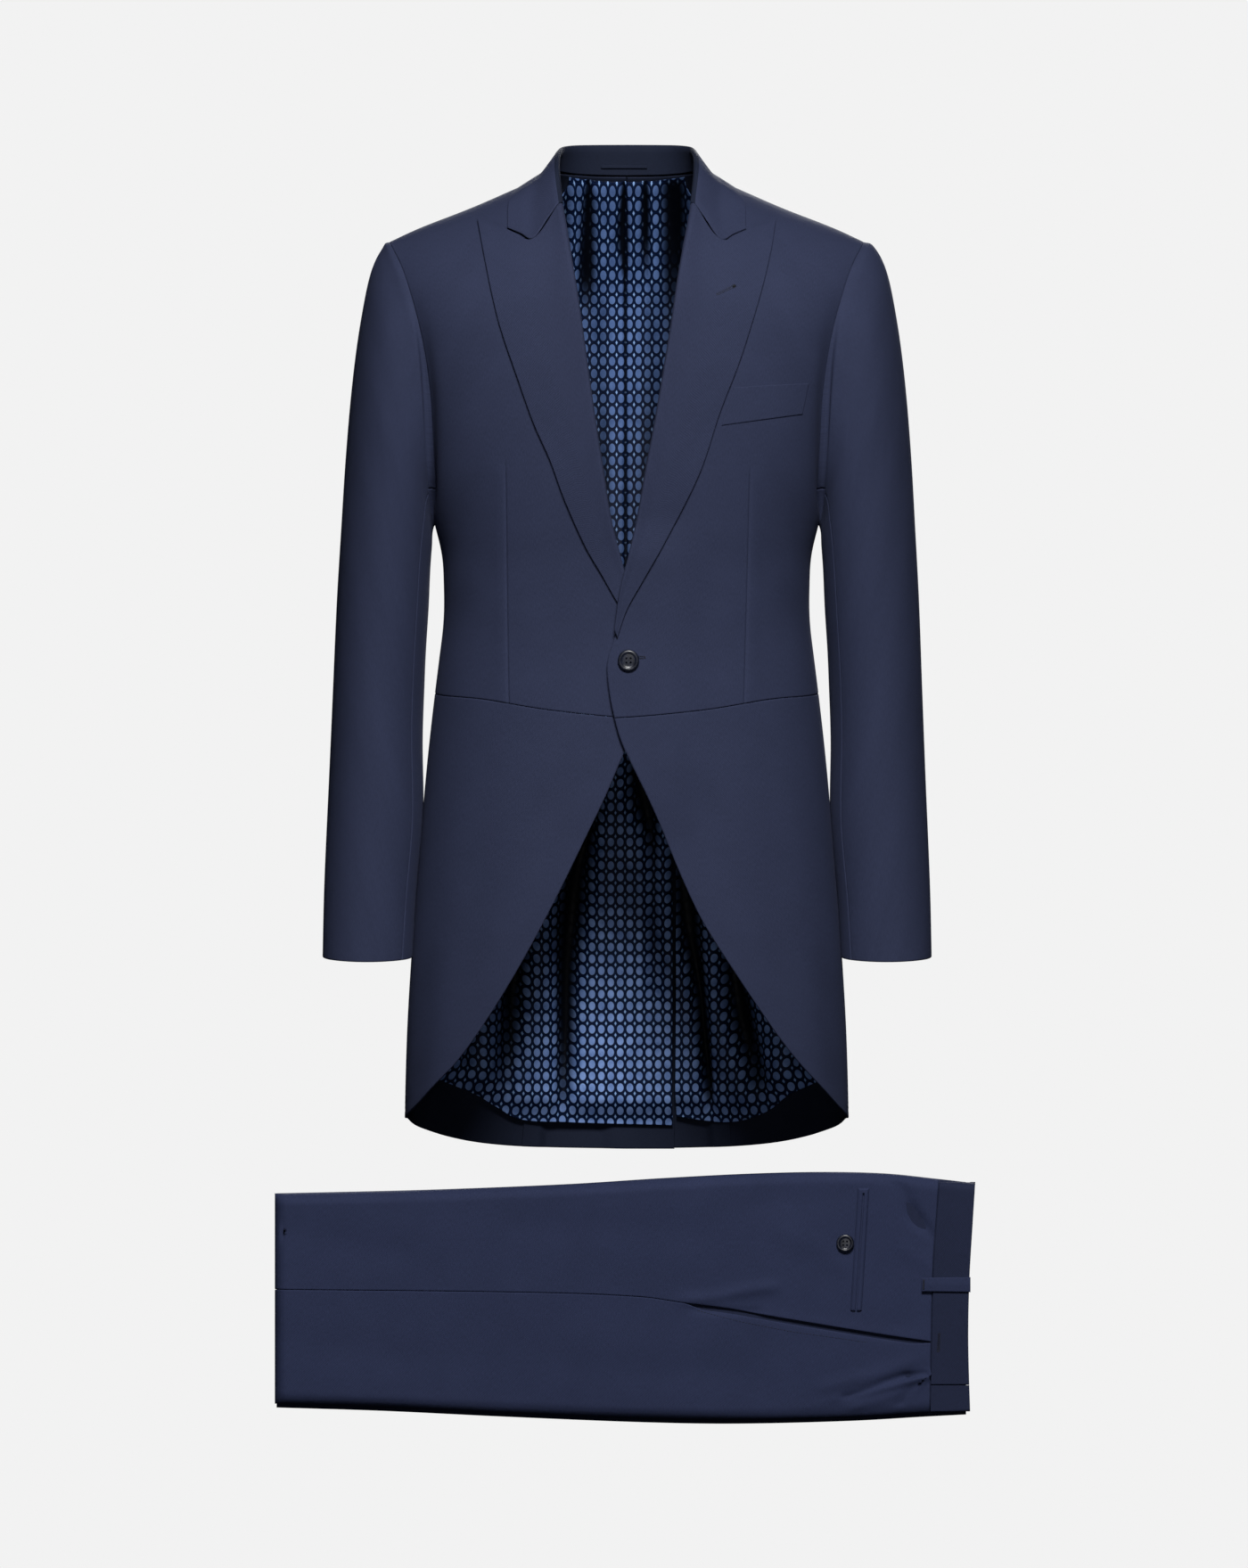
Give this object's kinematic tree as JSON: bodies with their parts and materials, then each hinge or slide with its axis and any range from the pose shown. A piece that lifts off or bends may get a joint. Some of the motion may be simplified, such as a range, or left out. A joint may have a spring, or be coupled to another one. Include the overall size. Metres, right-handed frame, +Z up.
{
  "type": "morning suit: cutaway coat filled out above folded trousers",
  "caption": "One-button cutaway tailcoat with peak lapels, hollow as if worn, above its matching trousers folded across at the knee.",
  "frame": {"origin": "middle of the neck, level with the collar seam at the nape and in the plane of the shoulder seams: where the wearer's neck and shoulders hold the coat", "axes": "+Z up, -Y to the front of the coat, +X to the wearer's left; the trousers lie in the X-Z plane below the coat's hem"},
  "size_m": [0.6526, 0.2603, 1.1902],
  "materials": {
    "coat_wool": "fine navy worsted wool, matt, with a faint twill",
    "trouser_wool": "fine navy worsted wool, matt, a shade bluer than the coat",
    "lining_satin": "satin jacquard with small ovals in a grid, soft sheen",
    "button_horn": "dark rimmed button, half gloss"
  },
  "bodies": {
    "root": {"forepart_left": "coat_wool", "side_body_left": "coat_wool", "back_left": "coat_wool", "skirt_left": "coat_wool", "top_sleeve_left": "coat_wool", "under_sleeve_left": "coat_wool", "lapel_left": "coat_wool", "lining_upper_left": "lining_satin", "lining_tail_left": "lining_satin", "forepart_right": "coat_wool", "side_body_right": "coat_wool", "back_right": "coat_wool", "skirt_right": "coat_wool", "top_sleeve_right": "coat_wool", "under_sleeve_right": "coat_wool", "lapel_right": "coat_wool", "lining_upper_right": "lining_satin", "lining_tail_right": "lining_satin", "collar": "coat_wool", "breast_pocket_welt": "coat_wool", "hanger_loop": "coat_wool", "front_button": "button_horn", "hip_pocket_button": "button_horn", "trouser_back_right": "trouser_wool", "trouser_front_right": "trouser_wool", "trouser_folded_layers": "trouser_wool", "waistband_right": "trouser_wool", "waistband_left_end": "trouser_wool", "belt_loop": "trouser_wool", "hip_pocket_welts": "trouser_wool"}
  },
  "joints": []
}
